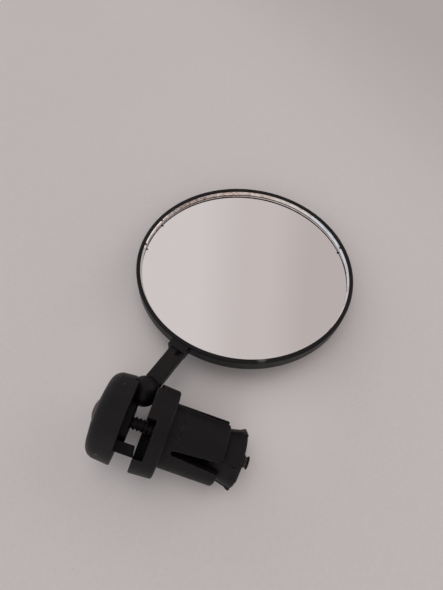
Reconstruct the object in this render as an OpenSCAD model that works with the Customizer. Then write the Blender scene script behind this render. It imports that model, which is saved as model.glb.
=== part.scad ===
// Bar-end bicycle mirror: a round convex mirror on a short arm, whose ball is
// gripped between a clamp cap and the flange of an expanding handlebar plug.
// Origin: on the plug axis, in the plane of the flange face that meets the bar.
// +X runs along the plug into the bar, +Z is roughly the way the mirror faces.

/* [Mirror head] */
// Outer diameter of the round mirror head
head_d = 76.2; // [60:0.1:90]
// Width of the black front lip seen from the front
lip_w = 1.35; // [1:0.05:2]
// Height of the lip's front plane above the arm's centre plane
lip_front = 2.2; // [2:0.1:3]
// Thickness of the mirror plate
plate_t = 1.6; // [1.2:0.1:2]
// Radius of curvature of the convex mirror face
mirror_curve = 600; // [400:50:1200]

/* [Arm and ball] */
// Diameter of the ball at the arm's end
ball_d = 9.2; // [8.8:0.1:9.4]
// Distance of the ball's centre from the plug axis
ball_offset = 9.5; // [9.2:0.1:9.8]
// Direction of the ball from the plug axis, from +Y towards +Z
ball_angle = 9; // [0:1:20]
// Lean of the arm towards the bar, from square to the plug axis
arm_lean = 18; // [14:0.5:19]
// Turn of the arm and head about the arm, in the ball joint
head_turn = 11; // [0:1:12]
// Distance from the ball's centre to the centre of the mirror head
reach = 56.5; // [54:0.1:70]
// Width of the flat arm
arm_w = 5.3; // [4.8:0.1:5.4]
// Thickness of the flat arm
arm_t = 3.1; // [2.8:0.1:3.4]

/* [Clamp cap] */
// Diameter of the end cap at its rim
cap_d = 26; // [25.6:0.1:28]
// Gap between the end cap's rim and the flange, with the ball loose
cap_gap = 5.6; // [5.5:0.1:6]
// How far the cap closes before it grips the ball
clamp_travel = 0.9; // [0.6:0.1:0.9]
// Depth of the end cap from its rim to the middle of its outer face
cap_depth = 9.1; // [8.8:0.1:10]

/* [Plug] */
// Diameter of the flange where it stops against the end of the bar
flange_d = 25.6; // [25:0.1:28]
// Thickness of the flange
flange_t = 6.9; // [6.8:0.1:7.2]
// Outer diameter of the expanding sleeve
sleeve_d = 18.8; // [18.4:0.1:19]
// Wall of the sleeve
sleeve_wall = 2.25; // [2:0.05:2.3]
// Length of the sleeve beyond the flange
sleeve_len = 16.8; // [15:0.1:20]
// Width of each slot at the open end of the sleeve
slot_w = 3.6; // [3.4:0.1:4]

/* [Screw and wedge] */
// Outside diameter of the screw thread
thread_d = 3.9; // [3.6:0.1:4]
// Pitch of the screw thread
thread_pitch = 1.2; // [1:0.1:1.4]
// Distance from the bar seat to the wedge's end face
wedge_end = 22.3; // [21.5:0.1:23]
// Rise of the wedge's cone for each millimetre along it
wedge_slope = 0.24; // [0.2:0.01:0.26]

/* [Hidden] */
$fn = 96;
fit_gap = 0.05;          // gap between two pieces that sit together

black = [0.10, 0.09, 0.09];
soft_black = [0.16, 0.15, 0.15];
dark_steel = [0.27, 0.22, 0.20];
bright = [0.85, 0.85, 0.86];

// Mirror head, measured in its own frame: centre on the head's axis, z = 0 in the arm's centre plane
head_r = head_d / 2;
opening_r = head_r - lip_w;
lip_t = 0.7;             // thickness of the front lip
lip_round = 0.55;        // rounding of the lip's outer edge
skirt_wall = 0.5;        // wall of the bezel's skirt
seam_z = 0.1;            // lower edge of the bezel
seam_gap = 0.25;         // height of the seam groove under the bezel
trim_h = 1;              // height of the bright ring
trim_slope = 0.5;        // how far the bright ring narrows towards the mirror
trim_step = 0.15;        // how far it narrows over its upper half
gasket_t = 0.1;          // thickness of the edge gasket
nib = [0.7, 0.5, 0.4];   // little moulded stop on the lip's inner edge
nib_angles = [-41, 91, 111];
trim_top = lip_front - lip_t - fit_gap;
trim_floor = trim_top - trim_h;
gasket_floor = trim_floor - gasket_t - 0.02;
gasket_in = opening_r - trim_slope;
skirt_r = head_r - skirt_wall;
upstand_wall = 0.6;      // wall of the shell's rim inside the bezel
shell_r = head_r - 0.1;
cup_r = skirt_r - fit_gap - upstand_wall;
plate_r = cup_r - fit_gap;
shell_side = 2;          // how far the shell's straight side reaches below the arm's centre plane
shell_round = 1.6;       // rounding between the shell's side and its back
shell_wall = 1.6;        // thickness of the shell's back
back_curve = 820;        // radius of the slightly domed back
face_apex = gasket_floor - 0.02 + mirror_curve - sqrt(pow(mirror_curve, 2) - pow(gasket_in, 2));
face_centre = face_apex - mirror_curve;
back_edge_r = shell_r - shell_round;
back_centre = sqrt(pow(back_curve, 2) - pow(back_edge_r, 2)) - shell_side - shell_round;
foam_inner_r = 22;
foam_outer_r = plate_r - 3;

// Arm, lug and ball
ball_r = ball_d / 2;
ball_x = -flange_t - 3.6;
ball_pos = [ball_x, ball_offset * cos(ball_angle), ball_offset * sin(ball_angle)];
arm_edge = 0.5;          // rounding of the arm's long edges
arm_shift = 0.25;        // how far the arm's middle lies from the ball's centre, towards the flange
arm_half_w = arm_edge + (arm_w / 2 - arm_edge) * cos(head_turn) + (arm_t / 2 - arm_edge) * sin(head_turn);
arm_half_t = arm_edge + (arm_t / 2 - arm_edge) * cos(head_turn) + (arm_w / 2 - arm_edge) * sin(head_turn);
lug_len = 2.4;
lug_start = reach - head_r - lug_len;
lug_left = 3.3;          // the lug stands further out on the cap side
lug_right = 2.8;
lug_half_t = 2.1;
spigot_r = 1.4;
spigot_len = 2.2;
spigot_groove_r = 0.75;
lug_pin_r = 0.55;
lug_pin_x = lug_start + 1.2;
lug_pin_y = -(spigot_groove_r + fit_gap + lug_pin_r);
lug_pin_half = 1.4;
pocket = [1.8, 1.7, 1.2]; // notch sunk in the arm's front face, against the lug
pocket_y = -2.1;

// Clamp cap and its plate
cap_r = cap_d / 2;
cap_rim = -flange_t - cap_gap;
cap_corner = 3.6;        // rounding between the cap's wall and its face
cap_wall = 1.6;
cap_crown = 1;           // rise of the cap's domed face
cap_draft = 0.35;        // how much narrower the cap's wall is towards its face
cap_flat_r = cap_r - cap_draft - cap_corner;
cup_depth = 4.4;         // depth of the hollow that holds the clamp plate
ball_seat_r = ball_r + 0.1;
ball_seat_x = ball_x - clamp_travel - fit_gap;
boss_r = 6.2;
boss_h = 1.8;            // how far the plate's boss stands out of the cap
tab_near = 5.9;          // from the screw axis to the tab's near side
tab_far = 9.1;
tab_near_h = 5.1;        // reach of the stop tab beyond the cap's rim, on its near side
tab_far_h = 5.7;
tab_half_w = 4.5;
rim_relief = 1.2;        // room cut in the cap's rim for the arm
head_bore_r = 3.6;
head_floor = cap_rim - 6.7;
screw_hole_r = thread_d / 2 + 0.15;

// Plug
flange_r = flange_d / 2;
sleeve_r = sleeve_d / 2;
sleeve_in = sleeve_r - sleeve_wall;
root_len = 3.2;          // plain ring of the sleeve next to the flange
finger_start = root_len + 0.1;
finger_round = 1.4;      // rounding of the fingers' corners
finger_lip = 0.6;        // rounding of the sleeve's end edge
seat_chamfer = 0.4;
flange_edge = 0.25;
flange_flare = 0.35;     // how much wider the flange is at its outer face
channel_depth = 2.9;
channel_near = 1.9;      // edge of the tab's channel on the ball's side
channel_far = 9.3;
channel_back = 6.5;      // the channel ends here, in front of the flange's far rim
socket_r = ball_r + fit_gap;
well_floor = -1.4;       // bottom of the hollow inside the sleeve
swing_half = 60;         // half of the arc that the arm swings through
arm_room = 0.15;         // room beside the arm where it crosses the flange
tilt_room = 1;           // extra lean the flange leaves room for
slot_root_w = 1.6;       // width of each slot at its closed end
wide_span = 100;         // angle between the slots beside a wide finger
first_slot = ball_angle + 20;
slot_angles = [first_slot, first_slot + wide_span, first_slot + 180, first_slot + 180 + wide_span];

// Screw, nut and wedge
thread_r = thread_d / 2;
core_r = thread_r - 0.42;
screw_end = wedge_end + 3;
thread_start = cap_rim - 3;
washer_t = 0.6;
washer_r = 3.5;
screw_head_r = 3.4;
screw_head_edge = 1.7;   // height of the head's side
screw_head_dome = 0.9;
hex_socket_r = 1.73;
hex_socket_depth = 1.5;
head_under = head_floor - washer_t;
nut_across = 7;
nut_t = 3.2;
wedge_start = sleeve_len - 3.8;
wedge_gap = 0.1;         // gap between the cone and the fingers at rest
nut_start = wedge_start + 0.1;
key_w = 2.5;
key_proud = 0.4;         // how far the keys stand above the cone
key_pad_w = 5;           // wider end of each key, beyond the fingers

// ---- helpers ----

// Points on an arc in a profile, from angle a to angle b
function arc(centre, r, a, b, steps = 8) =
    [for (i = [0:steps]) let (t = a + (b - a) * i / steps) centre + r * [cos(t), sin(t)]];

// Height of the mirror plate's rear face at distance r from the head's axis
function plate_rear(r) = face_centre + sqrt(pow(mirror_curve - plate_t, 2) - pow(r, 2));

// Height of the shell's back at distance r from the head's axis
function shell_back(r) = back_centre - sqrt(pow(back_curve, 2) - pow(r, 2));

// Radius of the wedge's cone at distance z from the bar seat
function cone_r(z) = sleeve_in - wedge_gap + wedge_slope * (z - sleeve_len);

// Local z along the plug axis, local x along +Y, local y along +Z
module along_plug() rotate([90, 0, 90]) children();

// As along_plug, with local x pointing from the plug axis to the ball
module towards_ball() along_plug() rotate([0, 0, ball_angle]) children();

// Origin in the ball, local x along the arm towards the mirror
module along_arm() translate(ball_pos) rotate([0, 0, 90 - arm_lean]) rotate([-head_turn, 0, 0]) children();

// Origin at the centre of the mirror head
module at_head() along_arm() translate([reach, 0, 0]) children();

// A ring of rectangular section on the local z axis
module ring(r_out, r_in, z0, z1) {
    difference() {
        translate([0, 0, z0]) cylinder(r = r_out, h = z1 - z0);
        translate([0, 0, z0 - 1]) cylinder(r = r_in, h = z1 - z0 + 2);
    }
}

// A bar of rectangular section with rounded long edges, along local x
module rounded_bar(x0, x1, w, t, edge) {
    translate([x0, 0, 0]) rotate([90, 0, 90]) linear_extrude(x1 - x0) {
        square([w - 2 * edge, t], center = true);
        square([w, t - 2 * edge], center = true);
        for (sx = [-1, 1], sy = [-1, 1])
            translate([sx * (w / 2 - edge), sy * (t / 2 - edge)]) circle(edge);
    }
}

// The arc that the arm sweeps beside the ball, as a fan in the local x-y plane
module swing_fan(z0, z1) {
    back = (arm_half_t + 0.3) / sin(swing_half);
    far = 30;
    translate([ball_offset - back, 0, z0]) linear_extrude(z1 - z0)
        polygon([[0, 0], far * [cos(swing_half), -sin(swing_half)], [2 * far, 0],
                 far * [cos(swing_half), sin(swing_half)]]);
}

// ---- mirror head ----

module mirror_plate() color(bright) at_head() {
    intersection() {
        translate([0, 0, face_apex - 6]) cylinder(r = plate_r, h = 8);
        difference() {
            translate([0, 0, face_centre]) sphere(mirror_curve);
            translate([0, 0, face_centre]) sphere(mirror_curve - plate_t);
        }
    }
}

module trim_ring() color(bright) at_head() rotate_extrude()
    polygon([[skirt_r - fit_gap, trim_floor], [skirt_r - fit_gap, trim_top], [opening_r, trim_top],
             [opening_r - trim_step, (trim_top + trim_floor) / 2], [opening_r - trim_slope, trim_floor]]);

module edge_gasket() color(black) at_head()
    ring(skirt_r - fit_gap, gasket_in, gasket_floor, trim_floor - 0.02);

module front_bezel() color(black) at_head() {
    rotate_extrude()
        polygon(concat([[skirt_r, seam_z], [head_r, seam_z]],
                       arc([head_r - lip_round, lip_front - lip_round], lip_round, 0, 90),
                       arc([opening_r + 0.2, lip_front - 0.2], 0.2, 90, 180, 4),
                       [[opening_r, lip_front - lip_t], [skirt_r, lip_front - lip_t]]));
    for (a = nib_angles) rotate([0, 0, a])
        translate([opening_r + 0.1 - nib.x, -nib.y / 2, lip_front - lip_t]) cube(nib);
}

// Side and back of the head, with the lug that takes the arm
module rear_shell() color(black) difference() {
    union() {
        at_head() rotate_extrude() polygon(concat(
            [[skirt_r - fit_gap, gasket_floor - 0.02], [skirt_r - fit_gap, seam_z - seam_gap],
             [shell_r, seam_z - seam_gap]],
            arc([back_edge_r, -shell_side], shell_round, 0, -90),
            [for (r = [back_edge_r - 6.4:-6:0]) [r, shell_back(r)]],
            [[0, shell_back(0)]],
            [for (r = [0:6:36]) [r, shell_back(r) + shell_wall]],
            [[cup_r, shell_back(36) + shell_wall + 0.3], [cup_r, gasket_floor - 0.02]]));
        along_arm() lug();
    }
    along_arm() {
        translate([lug_start - 1, 0, 0]) rotate([0, 90, 0])
            cylinder(r = spigot_r + fit_gap, h = spigot_len + 1 + fit_gap);
        translate([lug_pin_x, lug_pin_y, -lug_half_t - 1])
            cylinder(r = lug_pin_r + 0.02, h = lug_half_t + lug_pin_half + 1);
    }
}

// The block on the shell's side, cut back from the bezel and from the hollow of the shell
module lug() difference() {
    translate([lug_start, -lug_right, -lug_half_t])
        cube([lug_len + 1, lug_left + lug_right, 2 * lug_half_t]);
    translate([reach, 0, seam_z - seam_gap]) cylinder(r = head_r + fit_gap, h = 6);
    translate([reach, 0, -6]) cylinder(r = shell_r - 0.5, h = 12);
}

// Adhesive foam between the mirror plate and the shell
module foam_ring() color(soft_black) at_head() rotate_extrude()
    polygon([[foam_inner_r, shell_back(foam_inner_r) + shell_wall + fit_gap],
             [foam_outer_r, shell_back(foam_outer_r) + shell_wall + fit_gap],
             [foam_outer_r, plate_rear(foam_outer_r) - fit_gap],
             [foam_inner_r, plate_rear(foam_inner_r) - fit_gap]]);

// Pin that sits in the spigot's groove and keeps the arm in the lug
module lug_pin() color(dark_steel) along_arm()
    translate([lug_pin_x, lug_pin_y, -lug_pin_half - fit_gap]) cylinder(r = lug_pin_r, h = 2 * lug_pin_half);

// ---- arm and ball ----

module arm() color(black) along_arm() {
    difference() {
        translate([0, -arm_shift, 0]) rounded_bar(2.5, lug_start - fit_gap, arm_w, arm_t, arm_edge);
        sphere(ball_r + fit_gap);
        translate([lug_start - pocket.x, pocket_y, arm_t / 2 - pocket.z]) cube(pocket);
    }
    difference() {
        translate([lug_start - 0.3, 0, 0]) rotate([0, 90, 0]) cylinder(r = spigot_r, h = spigot_len + 0.3);
        translate([lug_pin_x - 0.65, 0, 0]) rotate([0, 90, 0]) ring(spigot_r + 1, spigot_groove_r, 0, 1.3);
    }
}

module swivel_ball() color(black) translate(ball_pos) sphere(ball_r);

// ---- clamp cap ----

// Outer cap with a rounded wall and a gently domed face
module end_cap() color(soft_black) towards_ball() difference() {
    rotate_extrude() polygon(concat(
        [[0, cap_rim], [cap_r - 0.3, cap_rim]],
        arc([cap_r - 0.3, cap_rim - 0.3], 0.3, 90, 0, 3),
        arc([cap_flat_r, cap_rim - cap_depth + cap_crown + cap_corner], cap_corner, 0, -90, 12),
        [for (r = [cap_flat_r - 1.4:-1.6:0]) [r, cap_face(r)]],
        [[0, cap_face(0)]]));
    translate([0, 0, cap_rim - cup_depth]) cylinder(r = cap_r - cap_wall, h = cup_depth + 1);
    translate([0, 0, cap_rim - cap_depth - 1]) cylinder(r = head_bore_r, h = head_floor - cap_rim + cap_depth + 1);
    translate([0, 0, cap_rim - cap_depth]) cylinder(r = screw_hole_r, h = cap_depth);
    clamp_relief();
    translate([-cap_r - 0.3, 1.5, cap_rim - 4.6]) rotate([90, 0, 0]) cylinder(r = 0.7, h = 3);
}

// Height of the cap's outer face at distance r from the screw axis
function cap_face(r) = let (c = (pow(cap_flat_r, 2) + pow(cap_crown, 2)) / (2 * cap_crown))
    cap_rim - cap_depth + c - sqrt(pow(c, 2) - pow(r, 2));

// Hollow for the ball and room for the arm, shared by the cap and its plate
module clamp_relief() {
    translate([ball_offset, 0, ball_seat_x]) sphere(ball_seat_r);
    swing_fan(cap_rim - rim_relief, cap_rim + 4);
}

// Plate inside the cap: boss with the ball seat, and the stop tab opposite the ball
module clamp_plate() color(black) towards_ball() difference() {
    union() {
        translate([0, 0, cap_rim - cup_depth + fit_gap])
            cylinder(r = cap_r - cap_wall - fit_gap, h = cup_depth - fit_gap);
        translate([0, 0, cap_rim - 1]) cylinder(r = boss_r, h = boss_h + 0.7);
        translate([0, 0, cap_rim + boss_h - 0.3]) cylinder(r1 = boss_r, r2 = boss_r - 0.3, h = 0.3);
        translate([0, tab_half_w, cap_rim]) rotate([90, 0, 0]) linear_extrude(2 * tab_half_w)
            polygon([[-tab_far, -1], [-tab_near, -1], [-tab_near, tab_near_h], [-tab_far, tab_far_h]]);
    }
    translate([0, 0, cap_rim - cap_depth]) cylinder(r = screw_hole_r, h = 2 * cap_depth);
    clamp_relief();
}

module head_washer() color(dark_steel) along_plug()
    ring(washer_r, screw_hole_r, head_floor - washer_t, head_floor - 0.02);

// ---- screw, nut and wedge ----

// Domed head with a hexagon socket, and a thread drawn as a row of ridges
module clamp_screw() color(dark_steel) along_plug() {
    turns = floor((screw_end - thread_start) / thread_pitch) - 1;
    head_top = head_under - screw_head_edge - screw_head_dome;
    dome_curve = (pow(screw_head_r, 2) + pow(screw_head_dome, 2)) / (2 * screw_head_dome);
    difference() {
        rotate_extrude() polygon(concat(
            [for (i = [0:6]) let (r = screw_head_r * i / 6)
                [r, head_top + dome_curve - sqrt(pow(dome_curve, 2) - pow(r, 2))]],
            [[screw_head_r, head_under - 0.3], [screw_head_r - 0.25, head_under - 0.02],
             [thread_r - 0.05, head_under - 0.02], [thread_r - 0.05, thread_start]],
            [for (i = [0:turns], p = [[core_r, 0.3], [core_r, 0.45], [thread_r, 0.8], [thread_r, 0.95]])
                [p[0], thread_start + (i + p[1]) * thread_pitch]],
            [[core_r, screw_end - 0.5], [core_r - 0.5, screw_end], [0, screw_end]]));
        translate([0, 0, head_top - 1]) cylinder(r = hex_socket_r, h = hex_socket_depth + 1, $fn = 6);
    }
}

module captive_nut() color(dark_steel) along_plug() difference() {
    translate([0, 0, nut_start]) cylinder(r = nut_across / 2 / cos(30), h = nut_t, $fn = 6);
    translate([0, 0, nut_start - 1]) cylinder(r = thread_r + fit_gap, h = nut_t + 2);
}

// Cone that spreads the fingers, with a key in each slot to stop it turning
module expander_wedge() color(black) along_plug() difference() {
    union() {
        rotate_extrude() polygon([[0, wedge_start], [cone_r(wedge_start) - 0.3, wedge_start],
            [cone_r(wedge_start + 0.5), wedge_start + 0.5], [cone_r(wedge_end - 0.4), wedge_end - 0.4],
            [cone_r(wedge_end) - 0.4, wedge_end], [0, wedge_end]]);
        for (a = slot_angles) rotate([0, 0, a]) {
            wedge_key(key_w, wedge_start + 1.5);
            wedge_key(key_pad_w, wedge_end - 1.7);
        }
    }
    translate([0, 0, wedge_start - 1])
        cylinder(r = nut_across / 2 / cos(30) + fit_gap, h = nut_t + 1.15, $fn = 6);
    translate([0, 0, wedge_start]) cylinder(r = thread_r + 0.15, h = wedge_end - wedge_start + 1);
}

// One key standing on the cone, from z0 to the wedge's end
module wedge_key(w, z0) {
    top = cone_r(z0) + key_proud;
    end = cone_r(wedge_end) + key_proud;
    translate([0, w / 2, 0]) rotate([90, 0, 0]) linear_extrude(w)
        polygon([[5, z0 - 0.2], [top - 0.5, z0 - 0.2], [top, z0 + 0.5],
                 [end - 0.1, wedge_end - 0.4], [end - 0.5, wedge_end], [5, wedge_end]]);
}

// ---- plug ----

// Flange with the ball socket and the tab's channel, and the root of the sleeve
module plug_body() color(black) difference() {
    along_plug() rotate_extrude() polygon([
        [0, -flange_t], [flange_r + flange_flare - flange_edge, -flange_t],
        [flange_r + flange_flare, flange_edge - flange_t],
        [flange_r, -seat_chamfer], [flange_r - seat_chamfer, 0], [sleeve_r, 0], [sleeve_r, root_len],
        [sleeve_in, root_len], [sleeve_in, well_floor], [0, well_floor]]);
    along_plug() translate([0, 0, -flange_t - 1]) cylinder(r = screw_hole_r, h = flange_t + 1);
    along_plug() for (a = slot_angles) rotate([0, 0, a])
        translate([0, 0, root_len]) rotate([0, 90, 0]) cylinder(r = slot_root_w / 2, h = sleeve_r + 1);
    towards_ball() {
        translate([-channel_far, -channel_back, -flange_t - 1])
            cube([channel_far + channel_near, channel_back + flange_d, channel_depth + 1]);
        translate([ball_offset, 0, ball_x]) sphere(socket_r);
        arm_relief();
    }
}

// Room that the leaning arm sweeps beside the ball
module arm_relief() {
    lean = arm_lean + tilt_room;
    start = ball_x + (arm_half_w + arm_shift) / cos(lean) + arm_room;
    far = 14;
    intersection() {
        swing_fan(-flange_t - 1, 0);
        translate([ball_offset, 0, 0]) rotate_extrude()
            polygon([[0, -flange_t - 1], [far, -flange_t - 1], [far, start + far * tan(lean)], [0, start]]);
    }
}

// One finger of the split sleeve, between two neighbouring slots
module finger(from, to) color(black) along_plug() intersection() {
    difference() {
        rotate_extrude() polygon(concat(
            [[sleeve_in, finger_start], [sleeve_r, finger_start]],
            arc([sleeve_r - finger_lip, sleeve_len - finger_lip], finger_lip, 0, 90, 4),
            [[sleeve_in + 0.2, sleeve_len], [sleeve_in, sleeve_len - 0.2]]));
        for (a = [from, to]) rotate([0, 0, a]) {
            rotate([0, 90, 0]) linear_extrude(sleeve_d) slot_shape();
            for (side = [-1, 1]) translate([0, side * slot_w / 2, sleeve_len - finger_round])
                rotate([0, 90, 0]) finger_corner(side);
        }
    }
    reach_out = 2 * sleeve_d;
    middle = (from + to) / 2;
    linear_extrude(sleeve_len + 1) polygon([[0, 0], reach_out * [cos(from), sin(from)],
        reach_out * [cos(middle), sin(middle)], reach_out * [cos(to), sin(to)]]);
}

// Outline of a slot, which widens towards the sleeve's end
module slot_shape() {
    widest = finger_round - sleeve_len;
    polygon([[0, -slot_root_w / 2], [-root_len, -slot_root_w / 2], [widest, -slot_w / 2],
             [-sleeve_len - 1, -slot_w / 2], [-sleeve_len - 1, slot_w / 2], [widest, slot_w / 2],
             [-root_len, slot_root_w / 2], [0, slot_root_w / 2]]);
}

// Waste that rounds a finger's corner, seen from outside the sleeve
module finger_corner(side) difference() {
    translate([-finger_round - 1, side > 0 ? -1 : -finger_round, 0])
        cube([finger_round + 1, finger_round + 1, sleeve_d]);
    translate([0, side * finger_round, 0]) cylinder(r = finger_round, h = sleeve_d);
}

module finger_top() finger(slot_angles[0], slot_angles[1]);
module finger_front() finger(slot_angles[1], slot_angles[2]);
module finger_bottom() finger(slot_angles[2], slot_angles[3]);
module finger_rear() finger(slot_angles[3], slot_angles[0] + 360);

mirror_plate();
trim_ring();
edge_gasket();
front_bezel();
rear_shell();
foam_ring();
lug_pin();
arm();
swivel_ball();
end_cap();
clamp_plate();
head_washer();
clamp_screw();
captive_nut();
plug_body();
finger_top();
finger_rear();
finger_bottom();
finger_front();
expander_wedge();
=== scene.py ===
"""Bar-end bicycle mirror: materials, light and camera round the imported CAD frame. Metres throughout."""

import math

import bpy
from mathutils import Matrix, Vector


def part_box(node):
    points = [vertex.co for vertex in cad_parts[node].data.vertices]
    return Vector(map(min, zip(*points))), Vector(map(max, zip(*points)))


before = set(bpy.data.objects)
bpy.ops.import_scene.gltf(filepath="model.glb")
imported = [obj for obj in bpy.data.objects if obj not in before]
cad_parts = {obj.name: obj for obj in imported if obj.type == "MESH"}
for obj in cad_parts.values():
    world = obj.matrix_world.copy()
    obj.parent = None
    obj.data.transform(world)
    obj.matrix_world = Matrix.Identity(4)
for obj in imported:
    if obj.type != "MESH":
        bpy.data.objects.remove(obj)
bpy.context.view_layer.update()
MM = 0.001

# ---------------------------------------------------------------- places worked out from the frame

BEZEL_LOW, BEZEL_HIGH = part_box("front_bezel")
HEAD_CENTRE = (BEZEL_LOW + BEZEL_HIGH) / 2
CAP_RIM = Vector((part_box("end_cap")[1].x, 0, 0))
CAP_END = Vector((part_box("end_cap")[0].x, 0, 0))
# Painted glint on the bezel's lip and painted coppery reflection on the ring, measured from the head's centre
LIP_GLINT = Vector((0.0127, -0.0333, 0.0058))
RING_WARM_REFLECTION = Vector((-0.0202, 0.0273, 0.0))
# Painted glints, a paler bluish patch and a painted warm reflection on the cap, and painted shade on the
# screw's thread, measured from the middle of the cap's rim or of its closed end
CAP_GLINT = Vector((-0.0035, 0.0069, 0.0110))
CAP_RIM_GLINT = Vector((-0.0040, -0.0121, 0.0038))
CAP_PALE_PATCH = Vector((-0.0023, -0.0100, 0.0082))
DOME_WARM_REFLECTION = Vector((-0.0040, 0.0, 0.0))
THREAD_SHADE = Vector((0.0030, 0.0, 0.0))


# ---------------------------------------------------------------- node helpers


class Graph:
    """A node tree, with one short method for each kind of node used here."""

    def __init__(self, tree):
        self.tree = tree

    def add(self, kind, inputs=None, **settings):
        made = self.tree.nodes.new(kind)
        for key, value in settings.items():
            setattr(made, key, value)
        for key, value in (inputs or {}).items():
            if isinstance(value, bpy.types.NodeSocket):
                self.tree.links.new(value, made.inputs[key])
            else:
                made.inputs[key].default_value = value
        return made

    def place(self, stretch=(1, 1, 1), turn=(0, 0, 0)):
        """Position on the piece in metres, which stays with the piece as it moves."""
        coords = self.add("ShaderNodeTexCoord").outputs["Object"]
        inputs = {"Vector": coords, "Scale": stretch, "Rotation": turn}
        return self.add("ShaderNodeMapping", inputs).outputs[0]

    def noise(self, scale, detail=2.0, rough=0.5, at=None, distort=0.0):
        inputs = {"Scale": scale, "Detail": detail, "Roughness": rough, "Distortion": distort,
                  "Vector": at or self.place()}
        return self.add("ShaderNodeTexNoise", inputs).outputs[0]

    def cells(self, scale, at=None):
        inputs = {"Scale": scale, "Vector": at or self.place()}
        return self.add("ShaderNodeTexVoronoi", inputs, feature="F1").outputs["Distance"]

    def remap(self, value, low, high, to_low=0.0, to_high=1.0):
        inputs = {"Value": value, "From Min": low, "From Max": high, "To Min": to_low, "To Max": to_high}
        return self.add("ShaderNodeMapRange", inputs).outputs[0]

    def smooth(self, value, low, high):
        inputs = {"Value": value, "From Min": low, "From Max": high}
        return self.add("ShaderNodeMapRange", inputs, interpolation_type="SMOOTHSTEP").outputs[0]

    def maths(self, how, a, b):
        return self.add("ShaderNodeMath", {0: a, 1: b}, operation=how).outputs[0]

    def vectors(self, how, a, b, output="Value"):
        return self.add("ShaderNodeVectorMath", {0: a, 1: b}, operation=how).outputs[output]

    def mix(self, share, a, b):
        """Colour a where share is 0, colour b where it is 1."""
        made = self.add("ShaderNodeMix", data_type="RGBA")
        for key, value in ((0, share), (6, a), (7, b)):
            if isinstance(value, bpy.types.NodeSocket):
                self.tree.links.new(value, made.inputs[key])
            else:
                made.inputs[key].default_value = value
        return made.outputs[2]

    def bump(self, height, depth, normal=None):
        inputs = {"Height": height, "Distance": depth, "Strength": 1.0}
        if normal:
            inputs["Normal"] = normal
        return self.add("ShaderNodeBump", inputs).outputs[0]

    def spot(self, centre, radius):
        """1 at a place on the piece, falling to 0 at the radius."""
        coords = self.add("ShaderNodeTexCoord").outputs["Object"]
        return self.remap(self.vectors("DISTANCE", coords, centre), radius, radius * 0.5)

    def soft_edge(self, radius):
        """Normals rounded over the piece's edges."""
        return self.add("ShaderNodeBevel", {"Radius": radius}, samples=6).outputs[0]

    def edge_mask(self, radius):
        """1 on the piece's edges, falling to 0 within the radius."""
        flat_normal = self.add("ShaderNodeNewGeometry").outputs["Normal"]
        return self.remap(self.vectors("DOT_PRODUCT", self.soft_edge(radius), flat_normal), 0.995, 0.86)


def new_material(name, build, **values):
    """A material whose surface is a Principled shader fed by build(graph, **values)."""
    made = bpy.data.materials.new(name)
    made.use_nodes = True
    graph = Graph(made.node_tree)
    shader = made.node_tree.nodes["Principled BSDF"]
    for key, value in build(graph, **values).items():
        if isinstance(value, bpy.types.NodeSocket):
            made.node_tree.links.new(value, shader.inputs[key])
        else:
            shader.inputs[key].default_value = value
    return made


def colour(r, g, b):
    """An opaque colour, in linear light."""
    return (r, g, b, 1.0)


# ---------------------------------------------------------------- materials


# Stretches that draw a texture out along the plug's axis or round it
ALONG_PLUG = (0.12, 1, 1)
ROUND_PLUG = (1, 0.12, 0.12)
# Tones of pale worn edges and painted glints, of a brighter painted glint, of a painted warm reflection, of a
# paler bluish patch and of painted shade, in that order
PALE = colour(0.10, 0.092, 0.09)
GLINT_TONE = colour(0.30, 0.28, 0.275)
WARM_REFLECTION_TONE = colour(0.105, 0.052, 0.042)
BLUISH_PALE = colour(0.0135, 0.0140, 0.0150)
PAINTED_SHADE_TONE = colour(0.016, 0.0135, 0.013)


def moulded_plastic(g, tint, rough, grain=0.012, wear=0.35, dust=0.25, streak=(1, 1, 1), edge=0.18, marks=()):
    """Injection-moulded black plastic: spark-eroded grain, flow streaks, pale worn edges, settled dust.

    grain and edge are in mm, and marks lists the place, radius in mm and tone of single spots, such as
    painted glints and painted reflections.
    """
    dark = colour(tint[0] * 0.72, tint[1] * 0.78, tint[2] * 0.96)
    light = colour(*[c * 1.3 for c in tint])
    dusty = colour(0.30, 0.27, 0.25)
    blotch = g.noise(130, 4, 0.6)
    flow = g.noise(420, 3, 0.55, at=g.place(stretch=streak))
    fine = g.noise(5200, 3, 0.7)
    pits = g.cells(7500)
    edges = g.edge_mask(edge * MM)
    worn = g.maths("MULTIPLY", edges, g.remap(g.noise(900, 4, 0.7), 0.42, 0.66))
    specks = g.remap(g.cells(1500), 0.10, 0.05)
    sparse = g.remap(g.noise(260, 2), 0.52, 0.60)
    settled = g.maths("MULTIPLY", g.maths("MULTIPLY", specks, sparse), dust)
    base = g.mix(g.remap(g.maths("ADD", blotch, flow), 0.75, 1.25), dark, light)
    base = g.mix(g.maths("MULTIPLY", worn, wear), base, PALE)
    base = g.mix(settled, base, dusty)
    for place, radius, tone in marks:
        marked = g.maths("MULTIPLY", g.spot(place, radius * MM), g.remap(fine, 0.38, 0.56))
        base = g.mix(g.maths("MULTIPLY", marked, 0.7), base, tone)
    height = g.maths("ADD", g.maths("MULTIPLY", fine, 0.7), g.maths("MULTIPLY", pits, 0.5))
    rubbed_along = g.place(stretch=(1, 0.12, 1), turn=(0.3, 0.2, 0.5))
    scuff = g.remap(g.noise(2600, 3, 0.6, at=rubbed_along), 0.62, 0.70)
    gloss = g.maths("ADD", g.remap(blotch, 0.3, 0.7, rough - 0.06, rough + 0.06),
                    g.maths("MULTIPLY", scuff, 0.10))
    return {
        "Base Color": base,
        "Roughness": g.maths("SUBTRACT", gloss, g.maths("MULTIPLY", worn, 0.12)),
        "Specular IOR Level": 0.19,
        "Normal": g.bump(height, grain * MM, g.soft_edge(edge * MM)),
    }


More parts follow.
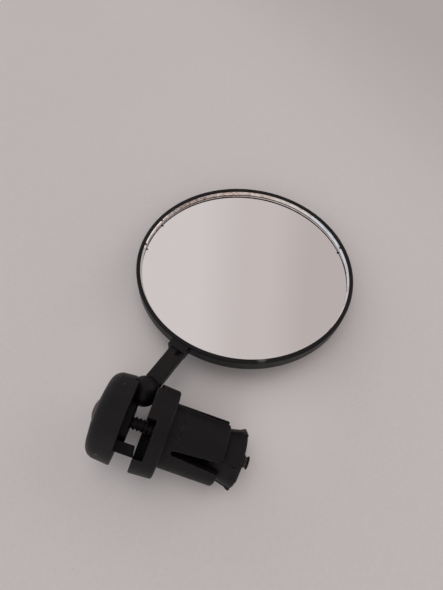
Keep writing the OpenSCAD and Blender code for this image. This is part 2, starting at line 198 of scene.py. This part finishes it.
def silvered(g):
    """Convex mirror plate: bright metal film with faint wiping marks and a few specks of dust."""
    smear = g.noise(70, 3, 0.6, at=g.place(stretch=(1, 0.25, 1), turn=(0, 0, 0.6)))
    specks = g.remap(g.cells(420), 0.035, 0.018)
    sparse = g.remap(g.noise(95, 2), 0.56, 0.62)
    dust = g.maths("MULTIPLY", g.maths("MULTIPLY", specks, sparse), 0.35)
    return {
        "Base Color": g.mix(dust, colour(0.93, 0.905, 0.905), colour(0.55, 0.5, 0.48)),
        "Metallic": 1.0,
        "Roughness": g.maths("ADD", g.remap(smear, 0.4, 0.75, 0.015, 0.05), g.maths("MULTIPLY", dust, 0.5)),
        "Normal": g.bump(g.noise(35, 2), 0.004 * MM),
    }


def bright_ring(g):
    """Polished retaining ring: plated plastic with ripples, nicks, tarnish and a painted coppery reflection
    in streaks on one side.
    """
    ripple = g.noise(330, 4, 0.65)
    nick = g.remap(g.cells(520), 0.16, 0.05)
    tarnish = g.remap(g.noise(240, 5, 0.7), 0.5, 0.72)
    round_the_ring = g.place(stretch=(0.12, 1, 1), turn=(0, 0, -0.55))
    streaks = g.remap(g.noise(1500, 3, 0.6, at=round_the_ring), 0.42, 0.60)
    # Painted reflection: coppery streaks on one side of the ring stand for the warm surroundings that it
    # mirrors
    copper_reflection = g.maths("MULTIPLY", g.spot(HEAD_CENTRE + RING_WARM_REFLECTION, 32 * MM), streaks)
    height = g.maths("SUBTRACT", ripple, g.maths("MULTIPLY", nick, 0.5))
    plated = g.mix(tarnish, colour(0.90, 0.88, 0.87), colour(0.48, 0.43, 0.41))
    return {
        "Base Color": g.mix(g.maths("MULTIPLY", copper_reflection, 0.85), plated, colour(0.42, 0.27, 0.22)),
        "Metallic": 1.0,
        "Roughness": g.remap(tarnish, 0, 1, 0.08, 0.34),
        "Normal": g.bump(height, 0.12 * MM),
    }


def foam(g):
    """Closed-cell black foam: open bubbles on a matte surface."""
    bubbles = g.cells(2600)
    mottled = g.noise(700, 4, 0.7)
    return {
        "Base Color": g.mix(mottled, colour(0.010, 0.010, 0.011), colour(0.030, 0.028, 0.028)),
        "Roughness": g.remap(mottled, 0.3, 0.7, 0.82, 0.96),
        "Specular IOR Level": 0.2,
        "Normal": g.bump(bubbles, 0.08 * MM),
    }


def blackened_steel(g, tint, grime_at=None):
    """Oil-blackened steel: brown oxide, turning marks, bright rubbed edges, and painted shade round one
    place.
    """
    oxide = g.noise(850, 6, 0.7)
    marks = g.noise(1500, 2, at=g.place(stretch=ROUND_PLUG))
    edges = g.edge_mask(0.16 * MM)
    rubbed = g.maths("MULTIPLY", edges, g.remap(g.noise(1500, 4, 0.7), 0.40, 0.62))
    rust = g.remap(g.noise(600, 5, 0.7, distort=0.4), 0.58, 0.72)
    base = g.mix(oxide, colour(*[c * 0.55 for c in tint]), colour(*[c * 1.35 for c in tint]))
    base = g.mix(g.maths("MULTIPLY", rust, 0.5), base, colour(0.14, 0.062, 0.032))
    base = g.mix(g.maths("MULTIPLY", rubbed, 0.7), base, colour(0.52, 0.48, 0.45))
    rough = g.maths("SUBTRACT", g.remap(oxide, 0.3, 0.7, 0.36, 0.52), g.maths("MULTIPLY", rubbed, 0.14))
    metal = g.remap(rust, 0, 1, 0.95, 0.25)
    # Painted shade: the steel is darker and less metallic round one place
    if grime_at:
        shade_mask = g.maths("MULTIPLY", g.spot(grime_at, 9 * MM), g.remap(oxide, 0.30, 0.46))
        base = g.mix(shade_mask, base, PAINTED_SHADE_TONE)
        metal = g.maths("SUBTRACT", metal, g.maths("MULTIPLY", shade_mask, 0.7))
    return {
        "Base Color": base,
        "Metallic": metal,
        "Roughness": g.maths("ADD", rough, g.maths("MULTIPLY", rust, 0.25)),
        "Normal": g.bump(g.maths("ADD", oxide, marks), 0.015 * MM, g.soft_edge(0.10 * MM)),
    }


MATERIALS = {
    "mirror": new_material("silvered_mirror", silvered),
    "bright_trim": new_material("plated_ring", bright_ring),
    "black_foam": new_material("black_foam", foam),
    # The head's pale spot on the lip is a painted glint
    "head_plastic": new_material("head_plastic", moulded_plastic, tint=(0.0072, 0.0058, 0.0061), rough=0.42,
                                 grain=0.008, edge=0.14,
                                 marks=[(HEAD_CENTRE + LIP_GLINT, 2.2, GLINT_TONE)]),
    "arm_plastic": new_material("arm_plastic", moulded_plastic, tint=(0.0095, 0.0076, 0.0078), rough=0.50),
    # A darker copy of the arm's plastic: painted shade on the ball in its socket
    "ball_painted_shade": new_material("ball_painted_shade", moulded_plastic, tint=(0.0042, 0.0036, 0.0042), rough=0.44,
                                 grain=0.006),
    # The cap's two pale spots are painted glints, its brown spot on the dome is a painted warm reflection,
    # and the bluish spot is a paler patch
    "cap_plastic": new_material("cap_plastic", moulded_plastic, tint=(0.0084, 0.0068, 0.0070), rough=0.46,
                                streak=ALONG_PLUG, edge=0.25, wear=0.45,
                                marks=[(CAP_RIM + CAP_GLINT, 0.5, PALE),
                                       (CAP_RIM + CAP_RIM_GLINT, 0.9, PALE),
                                       (CAP_RIM + CAP_PALE_PATCH, 4.5, BLUISH_PALE),
                                       (CAP_END + DOME_WARM_REFLECTION, 10, WARM_REFLECTION_TONE)]),
    # Darker plastic: painted shade on the clamp plate, which sits in the cap's shadow
    "plate_painted_shade": new_material("plate_painted_shade", moulded_plastic, tint=(0.0030, 0.0025, 0.0026),
                                  rough=0.56),
    "plug_plastic": new_material("plug_plastic", moulded_plastic, tint=(0.0062, 0.0051, 0.0053), rough=0.52,
                                 streak=ALONG_PLUG, wear=0.9, edge=0.3),
    "wedge_plastic": new_material("wedge_plastic", moulded_plastic, tint=(0.0068, 0.0057, 0.0059), rough=0.48,
                                  wear=0.8, edge=0.25),
    "dark_steel": new_material("blackened_steel", blackened_steel, tint=(0.17, 0.135, 0.115)),
    # The screw's thread is darkened by painted shade near the cap's rim
    "screw_steel": new_material("screw_steel", blackened_steel, tint=(0.084, 0.068, 0.062),
                                grime_at=CAP_RIM + THREAD_SHADE),
}

NODE_MATERIALS = {
    "mirror": ["mirror_plate"],
    "bright_trim": ["trim_ring"],
    "black_foam": ["edge_gasket", "foam_ring"],
    "head_plastic": ["front_bezel", "rear_shell"],
    "arm_plastic": ["arm"],
    "ball_painted_shade": ["swivel_ball"],
    "cap_plastic": ["end_cap"],
    "plate_painted_shade": ["clamp_plate"],
    "plug_plastic": ["plug_body", "finger_top", "finger_rear", "finger_bottom", "finger_front"],
    "wedge_plastic": ["expander_wedge"],
    "dark_steel": ["lug_pin", "head_washer", "captive_nut"],
    "screw_steel": ["clamp_screw"],
}
for material, names in NODE_MATERIALS.items():
    for name in names:
        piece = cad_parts[name]
        piece.data.materials.clear()
        piece.data.materials.append(MATERIALS[material])


# ---------------------------------------------------------------- floor, light and camera

# The object lies on its flange, its wedge and the far rim of its head, so the board leans in the part's frame
BOARD_UP = Vector((-0.1719, -0.0712, 0.9825)).normalized()
BOARD_HALF = 1.5
# Painted shade darkens the board towards the far right and a painted pool of light brightens it round the
# arm, measured from the head's centre
SHADE_WAY = Vector((0.60, 0.79, 0.12))
SHADE_SPAN = (0.055, 0.180)
LIT_MIDDLE = Vector((-0.002, -0.040, -0.012))
LIT_SPAN = (0.055, 0.020)

# The room is split into soft bands by how far a direction points to the right
ROOM_RIGHT = Vector((0.9361, 0.2779, 0.2156))
FIRST_BAND = (-0.02, 0.15)
SECOND_BAND = (0.20, 0.34)
FAR_LEFT = (-0.40, -0.75)
NEAR_SIDE = Vector((0.0, -1.0, 0.0))
NEAR_SPAN = (0.45, 0.75)
# The share of the room's light that falls on matt surfaces, which the lamps light as well
SOFT_LIGHT = 0.76

# The camera's angles in degrees, and its distance from the point that it aims at
CAMERA_AZIMUTH = -5.8
CAMERA_ELEVATION = 59.85
CAMERA_ROLL = 25.42
CAMERA_DISTANCE = 0.16314
AIM_FROM_HEAD = Vector((-0.00464, -0.01278, -0.00263))
LENS_MM = 38.49
SENSOR_MM = 36


def clear_from_below(material):
    """The board is see-through from underneath, so the object's underside can be looked at."""
    tree = material.node_tree
    g = Graph(tree)
    behind = g.add("ShaderNodeNewGeometry").outputs["Backfacing"]
    board = tree.nodes["Principled BSDF"].outputs[0]
    clear = g.add("ShaderNodeBsdfTransparent").outputs[0]
    mixed = g.add("ShaderNodeMixShader", {0: behind, 1: board, 2: clear}).outputs[0]
    tree.links.new(mixed, tree.nodes["Material Output"].inputs["Surface"])


def keep_under(floor):
    """The board slides along its normal to the object's lowest point, in every pose."""
    tree = bpy.data.node_groups.new("floor_level", "GeometryNodeTree")
    tree.interface.new_socket("Geometry", in_out="INPUT", socket_type="NodeSocketGeometry")
    tree.interface.new_socket("Geometry", in_out="OUTPUT", socket_type="NodeSocketGeometry")
    g = Graph(tree)
    joined = g.add("GeometryNodeJoinGeometry")
    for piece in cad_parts.values():
        info = g.add("GeometryNodeObjectInfo", {"Object": piece}, transform_space="RELATIVE")
        tree.links.new(info.outputs["Geometry"], joined.inputs["Geometry"])
    lowest = g.add("GeometryNodeBoundBox", {"Geometry": joined.outputs["Geometry"]}).outputs["Min"]
    level = g.add("ShaderNodeSeparateXYZ", {0: lowest}).outputs["Z"]
    drop = g.add("ShaderNodeCombineXYZ", {"Z": level}).outputs[0]
    board = g.add("NodeGroupInput").outputs["Geometry"]
    moved = g.add("GeometryNodeTransform", {"Geometry": board, "Translation": drop}).outputs["Geometry"]
    g.add("NodeGroupOutput", {"Geometry": moved})
    floor.modifiers.new("floor_level", "NODES").node_group = tree


def floor_surface(g):
    """Pale matt board with a faint fibre grain, a few specks, painted shade towards the far right and a
    painted pool of light round the arm.
    """
    at = g.add("ShaderNodeTexCoord").outputs["Object"]
    cloud = g.noise(9, 3, 0.5, at=at)
    grain = g.noise(900, 3, 0.6, at=at)
    specks = g.remap(g.cells(260, at=at), 0.06, 0.03)
    sparse = g.remap(g.noise(60, 2, at=at), 0.55, 0.6)
    dirt = g.maths("MULTIPLY", specks, sparse)
    base = g.mix(cloud, colour(0.742, 0.709, 0.704), colour(0.782, 0.748, 0.743))
    base = g.mix(g.remap(grain, 0.3, 0.7, 0.0, 0.06), base, colour(0.30, 0.26, 0.25))
    base = g.mix(g.maths("MULTIPLY", dirt, 0.25), base, colour(0.22, 0.19, 0.18))
    where = g.add("ShaderNodeNewGeometry").outputs["Position"]
    offset = g.vectors("SUBTRACT", where, HEAD_CENTRE, output="Vector")
    # Painted shade: the board's colour darkens towards the far right
    far_shade = g.smooth(g.vectors("DOT_PRODUCT", offset, SHADE_WAY), *SHADE_SPAN)
    base = g.mix(far_shade, base, colour(0.60, 0.57, 0.565))
    # Painted light: the board's colour brightens round the arm
    lit_pool = g.smooth(g.vectors("DISTANCE", offset, LIT_MIDDLE), *LIT_SPAN)
    base = g.mix(lit_pool, base, colour(0.87, 0.83, 0.82))
    return {"Base Color": base, "Roughness": 0.75, "Specular IOR Level": 0.2,
            "Normal": g.bump(grain, 0.02 * MM)}


def make_floor():
    """A flat board that the object rests on."""
    mesh = bpy.data.meshes.new("floor")
    corners = [(x * BOARD_HALF, y * BOARD_HALF, 0) for x, y in ((-1, -1), (1, -1), (1, 1), (-1, 1))]
    mesh.from_pydata(corners, [], [(0, 1, 2, 3)])
    floor = bpy.data.objects.new("floor", mesh)
    bpy.context.scene.collection.objects.link(floor)
    floor.rotation_mode = "QUATERNION"
    floor.rotation_quaternion = BOARD_UP.to_track_quat("Z", "Y")
    keep_under(floor)
    board = new_material("pale_board", floor_surface)
    clear_from_below(board)
    mesh.materials.append(board)


def make_light(name, place, size, power, tint, mirrored=True):
    """A soft round lamp aimed at the head; the mirror shows it only if mirrored."""
    data = bpy.data.lights.new(name, "AREA")
    data.shape = "DISK"
    data.size = size
    data.energy = power
    data.color = tint
    light = bpy.data.objects.new(name, data)
    bpy.context.scene.collection.objects.link(light)
    light.location = Vector(place)
    light.rotation_mode = "QUATERNION"
    light.rotation_quaternion = (HEAD_CENTRE - light.location).to_track_quat("-Z", "Y")
    light.visible_glossy = mirrored


def make_world():
    """Even room light in soft vertical bands, brighter on the left, and a little warmer on the near side."""
    world = bpy.data.worlds.new("room")
    bpy.context.scene.world = world
    world.use_nodes = True
    g = Graph(world.node_tree)
    way = g.add("ShaderNodeTexCoord").outputs["Generated"]
    right = g.vectors("DOT_PRODUCT", way, ROOM_RIGHT)
    near = g.vectors("DOT_PRODUCT", way, NEAR_SIDE)
    room = g.mix(g.smooth(right, *FIRST_BAND), colour(0.652, 0.612, 0.605), colour(0.575, 0.530, 0.522))
    room = g.mix(g.smooth(right, *SECOND_BAND), room, colour(0.505, 0.460, 0.450))
    room = g.mix(g.smooth(right, *FAR_LEFT), room, colour(0.67, 0.70, 0.76))
    room = g.mix(g.smooth(near, *NEAR_SPAN), room, colour(0.74, 0.67, 0.645))
    glossy = g.add("ShaderNodeLightPath").outputs["Is Glossy Ray"]
    background = world.node_tree.nodes["Background"]
    world.node_tree.links.new(room, background.inputs["Color"])
    world.node_tree.links.new(g.remap(glossy, 0, 1, SOFT_LIGHT, 1.0), background.inputs["Strength"])


def make_camera():
    """Phone-like camera above the plug, looking down and along the arm."""
    data = bpy.data.cameras.new("camera")
    data.lens = LENS_MM
    data.sensor_width = SENSOR_MM
    data.sensor_fit = "HORIZONTAL"
    data.clip_start = 0.01
    data.clip_end = 20
    camera = bpy.data.objects.new("camera", data)
    bpy.context.scene.collection.objects.link(camera)
    a, e = math.radians(CAMERA_AZIMUTH), math.radians(CAMERA_ELEVATION)
    back = Vector((math.sin(a) * math.cos(e), -math.cos(a) * math.cos(e), math.sin(e)))
    camera.rotation_mode = "QUATERNION"
    level = (-back).to_track_quat("-Z", "Y").to_matrix()
    roll = Matrix.Rotation(math.radians(CAMERA_ROLL), 3, "Z")
    camera.rotation_quaternion = (level @ roll).to_quaternion()
    camera.location = HEAD_CENTRE + AIM_FROM_HEAD + back * CAMERA_DISTANCE
    bpy.context.scene.camera = camera


make_floor()
make_light("key", (0.42, 0.40, 0.50), 0.5, 0.45, (1.0, 0.94, 0.91))
make_light("overhead", (-0.18, 0.02, 0.90), 0.6, 1.2, (1.0, 0.965, 0.955), mirrored=False)
make_light("window", (-0.50, 0.15, 0.55), 0.7, 0.25, (1.0, 0.97, 0.96), mirrored=False)
make_light("fill", (0.05, -0.60, 0.30), 0.35, 0.24, (0.70, 0.84, 1.0), mirrored=False)
make_world()
make_camera()
bpy.context.scene.view_settings.view_transform = "Standard"
